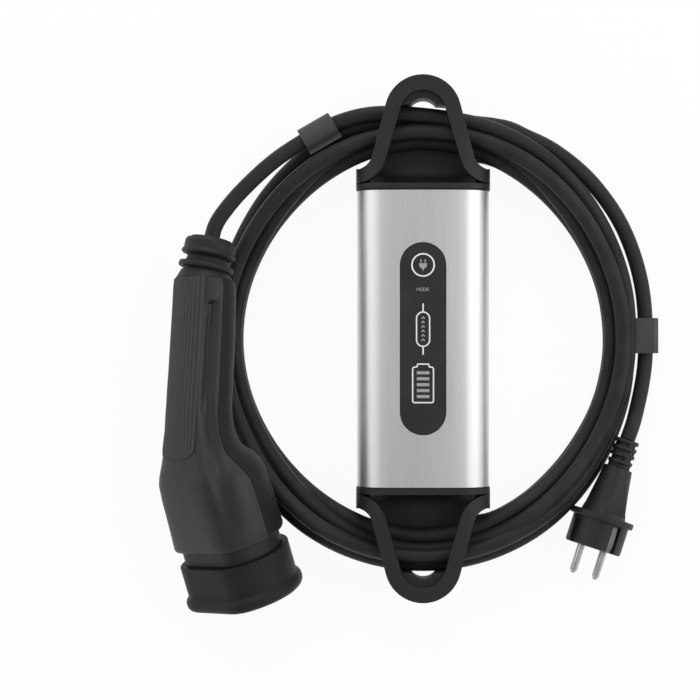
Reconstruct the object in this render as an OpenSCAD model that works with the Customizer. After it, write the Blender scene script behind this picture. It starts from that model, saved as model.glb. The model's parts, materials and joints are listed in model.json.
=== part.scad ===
// Portable charging unit for an electric car: a control box with a cable loop at each end,
// two leads wound on the loops, a vehicle connector and an earthed mains plug.
// It lies on its back. X runs across the box, Y along it and Z up out of its front.

/* [Housing] */
// Width of the aluminium tube
tube_w = 84.4; // [80:0.2:90]
// Depth of the aluminium tube from back to front
tube_t = 54.4; // [53:0.2:60]
// Length of the aluminium tube
tube_l = 189; // [180:1:205]
// Corner radius of the tube
tube_r = 17.2; // [15:0.2:20]
// Wall of the tube
tube_wall = 2.8; // [2.6:0.1:3.4]
// Radius of the slight crown on the front
front_crown = 300; // [220:10:600]

/* [Display] */
// Width of the display panel
panel_w = 29.4; // [26:0.2:34]
// Length of the display panel
panel_l = 122.4; // [114:0.2:132]
// Thickness of the display panel
panel_t = 1.4; // [1:0.1:1.6]

/* [End caps] */
// How far the caps stand proud of the tube
cap_proud = 0.8; // [0.4:0.1:1.2]
// Thickness of the seal between tube and cap
seal_t = 1; // [0.6:0.1:1.6]
// Length of the collar next to the tube
collar_l = 3.4; // [2.6:0.2:4.4]
// Thickness of the loop arms
arm_t = 8; // [6.5:0.5:8.5]
// Outside radius of the loop's arch
loop_r = 24.4; // [23.6:0.2:26]
// Width of the loop's band
loop_band = 9.7; // [8.5:0.1:10.5]
// Height of the tongue's top above the floor
tongue_z = 26; // [24:0.5:27]
// Thickness of the tongue
tongue_t = 4; // [3:0.5:5]

/* [Leads] */
// Diameter of both leads
cord_d = 10; // [9:0.2:10.4]
// Angle between the box's length and the lead where it leaves the cap
gland_turn = 62; // [58:1:66]

/* [Vehicle connector] */
// Wall of the connector's shells
shell_wall = 3; // [2.4:0.2:3.4]
// Gap between the two shells
seam_gap = 0.4; // [0.2:0.1:0.8]
// Radius of the nose that carries the contacts
nose_r = 31.2; // [30:0.2:31.4]
// Length of the nose in front of its neck
nose_l = 22; // [18:0.5:24]
// Clearance between nose and protective cap
cap_clear = 0.4; // [0.3:0.1:0.7]
// Wall of the protective cap
cap_wall = 4.2; // [3:0.2:4.6]

/* [Mains plug] */
// Diameter of the contact pins
pin_d = 4.8; // [4:0.1:5.2]
// Length of the contact pins
pin_l = 19; // [15:0.5:20]
// Distance between the contact pins
pin_pitch = 19; // [17:0.5:21]
// Diameter of the plug's front
plug_d = 37; // [35:0.5:39]
// Diameter of the plug's flange
flange_d = 42; // [41:0.5:42.2]

/* [Hidden] */
$fn = 64;
cap_w = tube_w + 2*cap_proud;
cap_t = tube_t + 2*cap_proud;
cap_r = tube_r + cap_proud;
y0 = tube_l/2 + seal_t;
y1 = y0 + collar_l;
y2 = y1 + 5.1;
y3 = y1 + 10.1;
loop_y = y0 + 47.7;
flare_y = y0 + 23.5;
lip_r = 9.8;
end_shift = tube_l/2 + seal_t + collar_l - 98.9;
inner = cap_proud + tube_wall;
panel_z = cap_t - cap_proud - 1.9;
board_z = 14;
board_t = 1.6;
board_w = cap_w - 2*inner - 2;
terminal_y = tube_l/2 - 19;
post_x = panel_w/2 - 5.5;
post_r = 2.2;
board_gap = 0.6;
port = [cap_w/2 - cap_r + 9.1, cap_r - 9.1];
gland_at = [-9, y2 + 0.5, 10.5];
gland_l = 22;
neck_l = 9.5;
nose_flat = 23.4;
d_corner = 12;
con_at = [-123.6, -127.7, 45.1];
con_turn = [45, 11, -75];
plug_at = [116.8, -114.4, flange_d/2 + 0.2];
plug_turn = 18.3;
plug_roll = -33;
plug_tilt = 4;
bend_s = 60;
bend_r = 80;
bend_a = 25;
bend_l = bend_r*bend_a*PI/180;
shell_l = 169;

// Routes of the leads outside the coil
supply_exit_route = [[10.4, 114.8, 10.5], [20, 118.6, 10.5], [30, 120.1, 10], [39.5, 119.4, 9],
  [49, 116.5, 8], [68, 108, 6.5], [86, 96, 5.6], [102, 81.5, 5.3]];
charge_exit_route = [[10.4, -114.8, 10.5], [20, -118.6, 10.5], [30, -120.1, 10], [39.5, -119.4, 9],
  [49, -116.5, 8], [67, -106, 6.5], [83, -92, 5.6], [97, -75.5, 5.3]];
supply_tail_route = [[51, 136.5, 31], [66, 130.5, 30], [83, 122.5, 27], [104, 107, 21],
  [119, 90.5, 15], [129, 75.5, 11], [137, 57.5, 9], [142.5, 38, 8.3], [145, 20, 8.3],
  [145.5, 2, 8.3], [145.3, -15, 8.4], [143.2, -30, 9.6],
  [140, -44, 12.2], [136.6, -56, 15.6], [132.9, -65.7, 17.6]];
charge_tail_route = [[-134.8, 63.9, 45.6], [-133.4, 70.2, 44.8], [-130.7, 76, 44], [-127, 81.4, 43.2],
  [-120, 90.3, 41.8], [-105.5, 105.2, 39.5], [-91.5, 117, 38.2], [-67, 132.4, 37.5],
  [-53, 139.3, 37.8], [-28, 144.3, 39]];

function sub(a, b) = [a.x - b.x, a.y - b.y, a.z - b.z];
function unit(v) = v/norm(v);
function arc(x, y, r, a, b, n = 8) =
  [for (i = [0:n]) let(t = a + (b - a)*i/n) [x + r*cos(t), y + r*sin(t)]];
function inside(l) = [for (i = [1:len(l) - 2]) l[i]];
function smooth(t) = let(u = max(0, min(1, t))) u*u*(3 - 2*u);
function shifted(p) = [p.x, p.y + end_shift*max(-1, min(1, p.y/90)), p.z];

// Section of the box at a given inset from the caps' outside
function section_pts(d) = let(w = cap_w - 2*d, t = cap_t - 2*d, r = cap_r - d, k = front_crown - d,
  x = w/2 - r, c = t - k, z = c + sqrt((k - r)*(k - r) - x*x), a = atan2(z - c, x))
  [for (p = concat(arc(x, r, r, -90, 0), arc(x, z, r, 0, a), inside(arc(0, c, k, a, 180 - a)),
    arc(-x, z, r, 180 - a, 180), arc(-x, r, r, 180, 270))) [p.x, p.y + d]];

// Outline of a cable loop seen from the front
function loop_pts() = let(x = cap_w/2, fi = 11, fo = 19.8, ri = loop_r - loop_band,
  d = norm([x, flare_y - loop_y]), t = atan2(flare_y - loop_y, x),
  a = t + acos((loop_r + fi)/d), b = t + acos((ri + fo)/d))
  concat([[x + 2, flare_y - fi]], arc(x, flare_y, fi, 270, 180 + a), arc(0, loop_y, loop_r, a, 180 - a, 20),
    arc(-x, flare_y, fi, 360 - a, 270), [[-x - 2, flare_y - fi], [-x - 2, flare_y - fo]],
    arc(-x, flare_y, fo, 270, 360 - b), arc(0, loop_y, ri, 180 - b, b, 16),
    arc(x, flare_y, fo, 180 + b, 270), [[x + 2, flare_y - fo]]);

function pill_pts(w, l) = concat(arc(0, l/2 - w/2, w/2, 0, 180, 20), arc(0, w/2 - l/2, w/2, 180, 360, 20));

module along_y(a, b) { translate([0, b, 0]) rotate([90, 0, 0]) linear_extrude(height = b - a) children(); }
module section(d) { polygon(section_pts(d)); }
module ring2d(a, b) { difference() { section(a); section(b); } }
module pill(w, l, z, h) { translate([0, 0, z]) linear_extrude(height = h) polygon(pill_pts(w, l)); }
module block(x, y, z, w, l, h) { translate([x - w/2, y - l/2, z]) cube([w, l, h]); }
module both_ends() { children(); mirror([0, 1, 0]) children(); }

module rails2d() {
  for (s = [-1, 1], z = [board_z - 1.8, board_z + board_t + 0.4])
    translate([s > 0 ? cap_w/2 - inner - 3 : -cap_w/2 + inner - 0.6, z]) square([3.6, 1.8]);
}

module housing_tube() {
  color("silver") difference() {
    along_y(-tube_l/2, tube_l/2) difference() {
      union() {
        ring2d(cap_proud, inner);
        intersection() {
          section(cap_proud + 0.5);
          union() {
            rails2d();
            for (s = [-1, 1]) translate([s*port.x, port.y]) circle(r = 3.2);
          }
        }
      }
      for (s = [-1, 1]) translate([s*port.x, port.y]) circle(r = 1.6);
    }
    pill(panel_w + 0.2, panel_l + 0.2, panel_z, 10);
    pill(panel_w - 3, panel_l - 3, panel_z - 8, 12);
  }
}

module gland_place() {
  translate(gland_at) rotate([0, 0, -gland_turn]) rotate([-90, 0, 0]) children();
}

module cap() {
  difference() {
    union() {
      along_y(y0, y1) section(0);
      along_y(y1 - 1, y2) intersection() {
        section(0);
        translate([-cap_w, 0]) square([2*cap_w, tongue_z]);
      }
      // Ears beside the collar
      along_y(y1 - 1, y3) intersection() {
        ring2d(0, arm_t);
        for (s = [-1, 1]) translate([s > 0 ? 30 : -cap_w, 0]) square([cap_w - 30, 36]);
      }
      // Loop cut from the skin of the box
      intersection() {
        along_y(y1, loop_y + loop_r + 1) intersection() {
          ring2d(0, arm_t);
          translate([-cap_w, tongue_z + 2]) square([2*cap_w, cap_t]);
        }
        linear_extrude(height = cap_t + 1) polygon(loop_pts());
      }
      // Slope from the collar down to the tongue
      translate([arm_t + 1 - cap_w/2, 0, 0]) rotate([90, 0, 90]) linear_extrude(height = cap_w - 2*arm_t - 2)
        polygon(concat([[y1 - 1, tongue_z - tongue_t], [y1 - 1, cap_t - 6], [y1, cap_t - 6]],
          [[y1 + 2, tongue_z + 10]], inside(arc(y1 + 12, tongue_z + 10, 10, 180, 270)),
          [[y1 + 12, tongue_z], [y1 + 12, tongue_z - tongue_t]]));
      translate([0, 0, tongue_z - tongue_t]) linear_extrude(height = tongue_t)
        polygon(concat([[27, y1], [27, y1 + 24]], arc(15, y1 + 24, 12, 0, 90),
          arc(-15, y1 + 24, 12, 90, 180), [[-27, y1]]));
      // Lip that keeps the coil in the loop
      translate([0, loop_y, tongue_z + 4]) difference() {
        cylinder(r = loop_r - 0.8, h = cap_t - 8 - tongue_z);
        translate([0, 0, -1]) cylinder(r = lip_r, h = cap_t);
        translate([-50, -100, -1]) cube([100, 100, cap_t]);
        translate([0, end_shift - loop_y, -1]) cylinder(r = coil_out(90) + 0.8, h = cap_t);
      }
      // Spigot inside the tube
      along_y(y0 - 8, y0 + 1) difference() {
        ring2d(inner + 0.25, inner + 2.75);
        for (s = [-1, 1]) translate([s*port.x, port.y]) circle(r = 3.8);
        for (s = [-1, 1]) translate([s > 0 ? cap_w/2 - inner - 4 : -cap_w/2, board_z - 2.4])
          square([inner + 4, 6.8]);
      }
    }
    gland_place() translate([0, 0, -2]) cylinder(r = 8.15, h = 28);
    for (s = [-1, 1]) translate([s*port.x, 0, port.y]) rotate([-90, 0, 0]) {
      translate([0, 0, y0 - 1]) cylinder(r = 1.7, h = 30);
      translate([0, 0, y1 + 3]) cylinder(r = 3.1, h = 30);
    }
  }
}

module top_cap() { color("dimgray") cap(); }
module bottom_cap() { color("dimgray") mirror([0, 1, 0]) cap(); }
module seal() { along_y(tube_l/2, y0) ring2d(cap_proud + 0.3, inner); }
module top_seal() { color("black") seal(); }
module bottom_seal() { color("black") mirror([0, 1, 0]) seal(); }

module cap_screws() {
  color("gray") both_ends() for (s = [-1, 1]) translate([s*port.x, y1 + 3, port.y]) rotate([-90, 0, 0])
    difference() {
      union() {
        cylinder(r = 2.8, h = 3);
        translate([0, 0, -22]) cylinder(r = 1.5, h = 23);
      }
      translate([0, 0, 1.4]) cylinder(r = 1.3, h = 3, $fn = 6);
    }
}

module display_panel() { color("black") pill(panel_w, panel_l, panel_z, panel_t); }

led_spots = concat([for (i = [-1:1]) [0, 6.3 + 6*i]], [for (i = [0:4]) [0, -22.2 - 3.9*i]], [[0, 47.7]]);
module led_windows(w, l) {
  for (p = led_spots) translate([p.x - w/2, p.y - l/2]) square([w, l]);
}
module light_mask() {
  color("black") translate([0, 0, panel_z - 4.6]) linear_extrude(height = 4.6) difference() {
    polygon(pill_pts(panel_w - 3.6, panel_l - 3.6));
    led_windows(8.6, 2.6);
  }
}
module indicator_leds() {
  color("white") for (p = led_spots) block(p.x, p.y, panel_z - 4.6, 3, 1.6, 1.2);
}
module display_board() { color("darkgreen") block(0, 0, panel_z - 6.2, panel_w - 5, panel_l - 8, 1.6); }
module display_posts() {
  color("gray") for (x = [-1, 1], y = [-1, 1])
    translate([x*post_x, y*(panel_l/2 - 18), board_z + board_t])
      cylinder(r = post_r, h = panel_z - 6.2 - board_z - board_t, $fn = 24);
}
module main_board() {
  color("darkgreen") block(0, 0, board_z, board_w, tube_l - 24, board_t);
}
module power_relays() {
  color("royalblue") for (s = [-1, 1])
    block(s*(board_w/2 - 14.4), 31.5 - terminal_y, board_z + board_t, 16, 29, 25.5);
}
module leakage_sensor() {
  color("black") translate([0, 8, board_z + board_t]) {
    translate([0, 7, 13]) rotate([90, 0, 0]) difference() {
      cylinder(r = 12, h = 14);
      translate([0, 0, -1]) cylinder(r = 7, h = 16);
    }
    block(0, 0, 0, 16, 14, 3);
  }
}
module supply_module() {
  x = post_x + post_r + board_gap;
  w = board_w/2 - 4.4 - x;
  color("gold") block(-x - w/2, terminal_y - 27.5, board_z + board_t, w, 34, 22);
}
module filter_capacitors() {
  color("navy") for (i = [0:2])
    translate([board_w/2 - 14.4, terminal_y - 9.5 - 15*i, board_z + board_t]) cylinder(r = 6.5, h = 21);
}
module terminal() {
  difference() {
    block(0, terminal_y, board_z + board_t, 34, 12, 13);
    for (i = [-1:1]) translate([10*i, terminal_y, board_z + board_t + 5])
      cylinder(r = 2.4, h = 20, $fn = 24);
  }
}
module mains_terminal() { color("green") terminal(); }
module vehicle_terminal() { color("green") mirror([0, 1, 0]) terminal(); }
module wires() {
  for (i = [-1:1]) translate([10*i, tube_l/2 - 13, board_z + board_t + 4.5]) rotate([-90, 0, 0])
    cylinder(r = 1.7, h = 13 + seal_t, $fn = 24);
}
module mains_wires() { color("brown") wires(); }
module vehicle_wires() { color("brown") mirror([0, 1, 0]) wires(); }

// Ribbed strain relief where a lead leaves its cap
module gland() {
  k = cord_d/10;
  gland_place() rotate_extrude() polygon(concat([[0, -2], [8, -2], [8, 3.4]],
    [for (i = [0:3], p = [[-0.9, 4], [-0.9, 5.6], [0, 6.2], [0, 7.8]]) [k*(7.7 - 0.25*i + p.x), p.y + 4.2*i]],
    [[6.2*k, 20.9], [6.2*k, gland_l], [0, gland_l]]));
}
module supply_gland() { color("black") gland(); }
module charge_gland() { color("black") mirror([0, 1, 0]) gland(); }

// Line through the connector from its neck back to its boot, bent like a pistol grip
function bend_at(s) = bend_a*max(0, min(1, (s - bend_s)/bend_l));
function axis_pt(s) = let(a = bend_at(s), e = max(0, s - bend_s - bend_l))
  [-min(s, bend_s) - bend_r*sin(a) - e*cos(bend_a), -bend_r*(1 - cos(a)) - e*sin(bend_a)];
function upper_r(s) = lookup(s, [[0, 37], [25, 37], [36, 36.6], [46, 35], [53, 32.2], [60, 28.4],
  [68, 23.8], [77, 20.2], [88, 18.4], [110, 18], [150, 18], [164, 18.2], [169, 18]]);
function lower_r(s) = lookup(s, [[0, 35.7], [30, 35.2], [40, 34.4], [46, 32.6], [51, 29.6], [56, 24.6],
  [60, 22.4], [66, 21.8], [80, 22.4], [130, 22.2], [164, 21], [169, 19.6]]);
function flat_r(s) = lookup(s, [[0, 27.9], [46, 27.9], [58, 25], [70, 22], [88, 20.4], [169, 19.8]]);
function scoop(s) = lookup(s, [[0, 0.2], [8, 0.8], [25, 3], [50, 4.2], [90, 4.2], [152, 4], [154.5, 0.2],
  [169, 0]]);
function scoop_at(s) = lookup(s, [[0, 54], [45, 58], [75, 67], [169, 68]]);
function front_round(s) = lookup(s, [[0, 1.6], [0.7, 0.5], [2, 0]]);
function seam_at(s) = lookup(s, [[0, 93], [40, 92], [52, 86], [60, 81], [75, 86], [95, 91], [169, 90]]);
function skin_r(s, a) = let(u = upper_r(s), l = lower_r(s), r = (u + l)/2 + (u - l)/2*cos(a),
  f = flat_r(s)/max(0.05, cos(a)))
  pow(pow(r, -12) + pow(f, -12), -1/12) - scoop(s)*exp(-pow((abs(a) - scoop_at(s))/10, 2));
function skin_pt(s, a, d) = let(p = axis_pt(s), b = bend_at(s),
  r = skin_r(s, a) + (d < 0 ? d : d - front_round(s)))
  [p.x - r*cos(a)*sin(b), r*sin(a), p.y + r*cos(a)*cos(b)];
function stations(a, b) = [for (s = [0, 0.7, 2, 7, 15, 25, 33, 40, 46, 51, 55, 58, 62, 62.8, 64, 66, 70, 76,
  83, 90, 98, 110, 125, 140, 152, 154.5, 164, 169]) if (s >= a && s <= b) s];

// Closed shell between two lists of rings that share their counts
module shell(outer, inner_rings) {
  n = len(outer);
  m = len(outer[0]);
  k = n*m;
  polyhedron(points = [for (r = concat(outer, inner_rings)) for (p = r) p], faces = concat(
    [for (j = [0:n - 2], i = [0:m - 2]) [j*m + i, j*m + m + i, j*m + m + i + 1]],
    [for (j = [0:n - 2], i = [0:m - 2]) [j*m + i, j*m + m + i + 1, j*m + i + 1]],
    [for (j = [0:n - 2], i = [0:m - 2]) [k + j*m + i, k + j*m + m + i + 1, k + j*m + m + i]],
    [for (j = [0:n - 2], i = [0:m - 2]) [k + j*m + i, k + j*m + i + 1, k + j*m + m + i + 1]],
    [for (i = [0:m - 2]) [i, i + 1, k + i + 1]], [for (i = [0:m - 2]) [i, k + i + 1, k + i]],
    [for (i = [0:m - 2]) let(q = (n - 1)*m + i) [q, k + q + 1, q + 1]],
    [for (i = [0:m - 2]) let(q = (n - 1)*m + i) [q, k + q, k + q + 1]],
    [for (j = [0:n - 2]) [j*m + m, j*m, k + j*m]], [for (j = [0:n - 2]) [j*m + m, k + j*m, k + j*m + m]],
    [for (j = [0:n - 2]) let(q = j*m + m - 1) [q, q + m, k + q + m]],
    [for (j = [0:n - 2]) let(q = j*m + m - 1) [q, k + q + m, k + q]]));
}
function upper_ring(s, d, m = 28) = let(g = seam_at(s) - seam_gap*29/skin_r(s, 90))
  [for (i = [0:m]) skin_pt(s, g*(2*i/m - 1), d)];
function lower_ring(s, d, m = 20) = let(g = seam_at(s) + seam_gap*29/skin_r(s, 90))
  [for (i = [0:m]) skin_pt(s, g + (360 - 2*g)*i/m, d)];

module connector_place() { translate(shifted(con_at)) rotate(con_turn) children(); }

// Round nose with a flat on top; d widens it all round
module d_shape(d) {
  offset(r = d_corner + d) intersection() {
    circle(r = nose_r - d_corner);
    translate([-60, -60]) square([120, 60 + nose_flat - d_corner]);
  }
}
module nose(x, l, d) { translate([x, 0, 0]) rotate([90, 0, 90]) linear_extrude(height = l) d_shape(d); }

module connector_shell() {
  color("dimgray") connector_place()
    shell([for (s = stations(0, shell_l)) upper_ring(s, 0)],
      [for (s = stations(0, shell_l)) upper_ring(s, -shell_wall)]);
}
module connector_underside() {
  color("dimgray") connector_place()
    shell([for (s = stations(0, shell_l)) lower_ring(s, 0)],
      [for (s = stations(0, shell_l)) lower_ring(s, -shell_wall)]);
}
function pad_half(s) = lookup(s, [[62, 18], [62.8, 27], [64, 33], [66, 38], [76, 44], [90, 48], [120, 52],
  [169, 54]]);
function pad_ring(s, d) = [for (i = [0:18]) skin_pt(s, pad_half(s)*(i/9 - 1), d)];
module grip_pad() {
  color("black") connector_place()
    shell([for (s = stations(62, shell_l)) pad_ring(s, 0.9)],
      [for (s = stations(62, shell_l)) pad_ring(s, 0.15)]);
}

boot_s = shell_l + 1;
module connector_boot() {
  p = axis_pt(boot_s);
  color("black") connector_place() translate([p.x, 0, p.y]) rotate([0, -90 - bend_a, 0]) {
    translate([0, 0, -0.9]) cylinder(r1 = 18.4, r2 = 15, h = 6.4);
    translate([0, 0, 2]) rotate([-5.66, -5.66, 0]) rotate_extrude()
      polygon([[0, 0], [13, 0], [14.4, 3], [17.2, 3.8], [17.8, 5], [17.4, 7], [13.8, 8], [13, 11.4],
        [16.6, 12.6], [17.6, 13.6], [17.2, 15], [16.4, 16], [16.4, 21], [15.4, 22.6], [13.6, 22.9],
        [13, 24], [9, 24.4], [0, 24.4]]);
  }
}

contact_spots = [[0, 0], [-16, 0], [16, 0], [-8, -14], [8, -14]];
signal_spots = [[-7.5, 13], [7.5, 13]];
module contact_carrier() {
  color("black") connector_place() difference() {
    union() {
      nose(-8, neck_l + 8, 0.6);
      nose(neck_l - 1, nose_l + 1, 0);
    }
    for (p = contact_spots) translate([8, p.x, p.y]) rotate([0, 90, 0]) cylinder(r = 5.2, h = 60);
    for (p = signal_spots) translate([8, p.x, p.y]) rotate([0, 90, 0]) cylinder(r = 3.6, h = 60);
  }
}
module sleeve(p, r, b, l) {
  translate([8, p.x, p.y]) rotate([0, 90, 0]) difference() {
    cylinder(r = r, h = l);
    translate([0, 0, 2]) cylinder(r = b, h = l);
  }
}
module power_contacts() { color("gold") connector_place() for (p = contact_spots) sleeve(p, 4.6, 3, 19); }
module signal_contacts() { color("gold") connector_place() for (p = signal_spots) sleeve(p, 3, 1.5, 16); }
module connector_cap() {
  x = neck_l + nose_l + 0.6;
  color("dimgray") connector_place() difference() {
    union() {
      nose(neck_l + 0.5, x + 3 - neck_l, cap_clear + cap_wall);
      // Rounded rim at the closed end
      hull() for (p = [[-1.4, 2.6], [-0.2, 1], [1.2, 0.2], [3, 0], [4.8, 0.2], [6.4, 1.2], [7.4, 2.6],
        [7.8, 4.4]]) nose(x + p.x, 0.1, cap_clear + 6.8 - p.y);
    }
    nose(neck_l - 1, x + 1 - neck_l, cap_clear);
  }
}

tether_path = [[-20, 37.5], [-14, 37.6], [-8, 39.6], [-1, 41.4], [6, 41.6], [12, 40.2], [17, 37.6],
  [22, 37.4]];
module cap_tether() {
  n = len(tether_path);
  color("black") connector_place() rotate([165, 0, 0]) polyhedron(
    points = [for (j = [0:n - 1]) let(a = tether_path[max(0, j - 1)], b = tether_path[min(n - 1, j + 1)],
      t = (b - a)/norm(b - a), p = tether_path[j])
      for (q = [[-4.5, -1.2], [4.5, -1.2], [4.5, 1.2], [-4.5, 1.2]]) [p.x - t.y*q.y, q.x, p.y + t.x*q.y]],
    faces = concat([[0, 1, 2, 3]], [[4*n - 1, 4*n - 2, 4*n - 3, 4*n - 4]],
      [for (j = [0:n - 2], i = [0:3]) [4*j + i, 4*j + 4 + i, 4*j + 4 + (i + 1)%4, 4*j + (i + 1)%4]]));
}

// Plug along its own Z, pins upwards, flange's back face at zero
module plug_place() {
  translate(shifted(plug_at)) rotate([0, 0, -plug_turn]) rotate([90 - plug_tilt, 0, 0])
    rotate([0, 0, plug_roll]) children();
}
module plug_solid() {
  difference() {
    rotate_extrude() polygon(concat([[0, 22.5], [plug_d/2 - 1, 22.5], [plug_d/2, 21.5], [plug_d/2, 4]],
      [[flange_d/2 - 0.6, 4], [flange_d/2, 3.4], [flange_d/2, 0.6], [flange_d/2 - 0.6, 0]],
      [[15, 0], [13.4, -6], [11.4, -18], [9.4, -32]],
      [for (i = [0:3], p = [[5.7, -32.8], [5.7, -34.8], [8.1, -35.2], [8.1, -37.4]])
        [p.x, p.y - 4.6*i]], [[0, -51.2]]));
    // Grip flats
    for (s = [-1, 1]) translate([-20, s > 0 ? 10.4 : -30.4, -31]) cube([40, 20, 29]);
    // Slots for the earth strips and grooves for the socket's guides
    for (s = [-1, 1]) translate([-3.2, s > 0 ? plug_d/2 - 3.6 : -plug_d/2 - 6.4, 5]) cube([6.4, 10, 20]);
    for (s = [-1, 1]) translate([s > 0 ? plug_d/2 - 2.6 : -plug_d/2 - 7.4, -2.8, 7]) cube([10, 5.6, 20]);
  }
}
// Links between the rings of the strain relief, turned from ring to ring
module plug_links() {
  for (i = [0:3]) rotate([0, 0, 90*i]) translate([-7.4, -2.5, -35.3 - 4.6*i]) cube([14.8, 5, 3]);
}
module plug_body() {
  color("dimgray") plug_place() {
    plug_solid();
    plug_links();
  }
}
module plug_pins() {
  color("silver") plug_place() for (s = [-1, 1]) translate([s*pin_pitch/2, 0, 22.5]) {
    cylinder(r = pin_d/2, h = pin_l - pin_d/2);
    translate([0, 0, pin_l - pin_d/2]) cylinder(r1 = pin_d/2, r2 = pin_d/4, h = pin_d/2);
  }
}
module plug_earth_strips() {
  color("silver") plug_place() for (s = [0, 180]) rotate([0, 0, s]) translate([-2.3, plug_d/2 - 3.6, 5])
    rotate([90, 0, 90]) linear_extrude(height = 4.6)
      polygon([[0, 0], [1.2, 0], [1.8, 10], [1.6, 14], [0.6, 17.5], [0, 17.5], [0.6, 14], [0.6, 10]]);
}

// Two hooks back to back: one over a lead's end, one under a strand of the coil
module clip(drop, reach, flat) {
  r = cord_d/2 + 0.45;
  rotate([90, 0, 0]) translate([0, 0, -11.5]) linear_extrude(height = 23) difference() {
    union() {
      circle(r = r + 2.6);
      if (flat) polygon([[-r - 2.6, 0], [r + 2.6, 0], [r + 2.6, r - 0.4], [r - 0.2, r + 2.6],
        [-r - 2.6, r + 2.6]]);
      translate([reach, drop]) circle(r = r + 2.2);
    }
    circle(r = r);
    translate([reach, drop]) circle(r = r);
    translate([-1.5, -r - 10]) square([3.8, r + 10]);
    translate([reach - 3, drop]) square([5, r + 10]);
  }
}
module plug_clip() { color("dimgray") translate(shifted([145.5, 2, 8.3])) clip(-0.4, -12.6, true); }
module connector_clip() {
  color("dimgray") translate(shifted([-67, 132.4, 37.5])) rotate([0, 0, -60]) mirror([1, 0, 0])
    clip(-2.2, -12.4, false);
}

// Coil of both leads: it lies on the floor at the sides and on the tongues at the ends
function coil_in(t) = 116.6 + 3.9*pow(sin(t), 6);
function coil_out(t) = 139.2 + 9.2*pow(abs(sin(t)), 2.3);
function coil_base(t) = 0.2 + tongue_z*smooth((asin(abs(sin(t))) - 25)/45);
function coil_h(t) = cord_d*(2.85 - sin(t)*sin(t));
function coil_pt(t, i) = let(a = 30*i, w = (coil_out(t) - coil_in(t))/2, h = coil_h(t)/2,
  e = a < 180 ? 1 : 0.7,
  x = sign(cos(a))*pow(abs(cos(a)), e), z = sign(sin(a))*pow(abs(sin(a)), e), r = coil_in(t) + w + w*x)
  shifted([r*cos(t), r*sin(t), coil_base(t) + h + h*z]);
module cable_coil() {
  n = 72;
  color("black") polyhedron(points = [for (j = [0:n - 1], i = [0:11]) coil_pt(360*j/n, i)],
    faces = concat(
      [for (j = [0:n - 1], i = [0:11]) let(e = (j + 1)%n, f = (i + 1)%12) [12*j + i, 12*e + f, 12*e + i]],
      [for (j = [0:n - 1], i = [0:11]) let(e = (j + 1)%n, f = (i + 1)%12) [12*j + i, 12*j + f, 12*e + f]]));
}

// Round lead along a list of points
module lead(route) {
  p = [for (q = route) shifted(q)];
  n = len(p);
  m = 12;
  color("black") polyhedron(
    points = [for (j = [0:n - 1]) let(t = unit(sub(p[min(n - 1, j + 1)], p[max(0, j - 1)])),
      u = unit(cross(t, [0, 0, 1])), v = cross(u, t)) for (i = [0:m - 1])
      p[j] + cord_d/2*(cos(360*i/m)*u + sin(360*i/m)*v)],
    faces = concat([[for (i = [0:m - 1]) m - 1 - i]], [[for (i = [0:m - 1]) n*m - m + i]],
      [for (j = [0:n - 2], i = [0:m - 1]) let(f = (i + 1)%m) [j*m + i, j*m + m + f, j*m + m + i]],
      [for (j = [0:n - 2], i = [0:m - 1]) let(f = (i + 1)%m) [j*m + i, j*m + f, j*m + m + f]]));
}
module supply_exit() { lead(supply_exit_route); }
module charge_exit() { lead(charge_exit_route); }
module supply_tail() { lead(supply_tail_route); }
module charge_tail() { lead(charge_tail_route); }

housing_tube();
top_cap();
bottom_cap();
top_seal();
bottom_seal();
cap_screws();
display_panel();
light_mask();
indicator_leds();
display_board();
display_posts();
main_board();
power_relays();
leakage_sensor();
supply_module();
filter_capacitors();
mains_terminal();
vehicle_terminal();
mains_wires();
vehicle_wires();
supply_gland();
charge_gland();
connector_shell();
connector_underside();
grip_pad();
connector_boot();
contact_carrier();
power_contacts();
signal_contacts();
connector_cap();
cap_tether();
plug_body();
plug_pins();
plug_earth_strips();
connector_clip();
plug_clip();
cable_coil();
supply_exit();
supply_tail();
charge_exit();
charge_tail();
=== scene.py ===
import json
import math

import bmesh
import bpy
from bpy.props import FloatProperty, FloatVectorProperty, PointerProperty
from bpy.types import Operator, Panel, PropertyGroup
from mathutils import Euler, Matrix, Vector


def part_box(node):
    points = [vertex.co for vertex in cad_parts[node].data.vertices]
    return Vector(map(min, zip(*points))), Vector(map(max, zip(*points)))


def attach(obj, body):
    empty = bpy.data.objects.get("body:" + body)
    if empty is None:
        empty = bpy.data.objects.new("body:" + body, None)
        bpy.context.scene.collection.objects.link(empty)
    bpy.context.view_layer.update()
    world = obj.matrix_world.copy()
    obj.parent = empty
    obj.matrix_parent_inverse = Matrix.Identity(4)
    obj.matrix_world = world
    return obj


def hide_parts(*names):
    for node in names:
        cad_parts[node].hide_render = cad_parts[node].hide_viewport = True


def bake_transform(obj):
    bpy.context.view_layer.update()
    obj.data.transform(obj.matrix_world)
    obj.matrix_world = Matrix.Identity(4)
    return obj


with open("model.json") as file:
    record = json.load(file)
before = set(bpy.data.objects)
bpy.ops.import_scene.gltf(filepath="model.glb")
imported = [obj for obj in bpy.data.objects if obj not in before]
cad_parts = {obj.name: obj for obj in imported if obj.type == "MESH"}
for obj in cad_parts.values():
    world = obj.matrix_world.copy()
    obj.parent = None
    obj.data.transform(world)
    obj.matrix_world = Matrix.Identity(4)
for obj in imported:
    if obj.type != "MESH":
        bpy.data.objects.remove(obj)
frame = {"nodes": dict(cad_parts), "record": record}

bl_info = {
    "name": "Portable Car Charger",
    "version": (1, 0, 0),
    "blender": (4, 5, 0),
    "location": "View3D > Sidebar > Charger",
    "description": "Dresses a portable car charger: box, lit panel, wound leads, connector and plug",
    "category": "Object",
}

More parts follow.
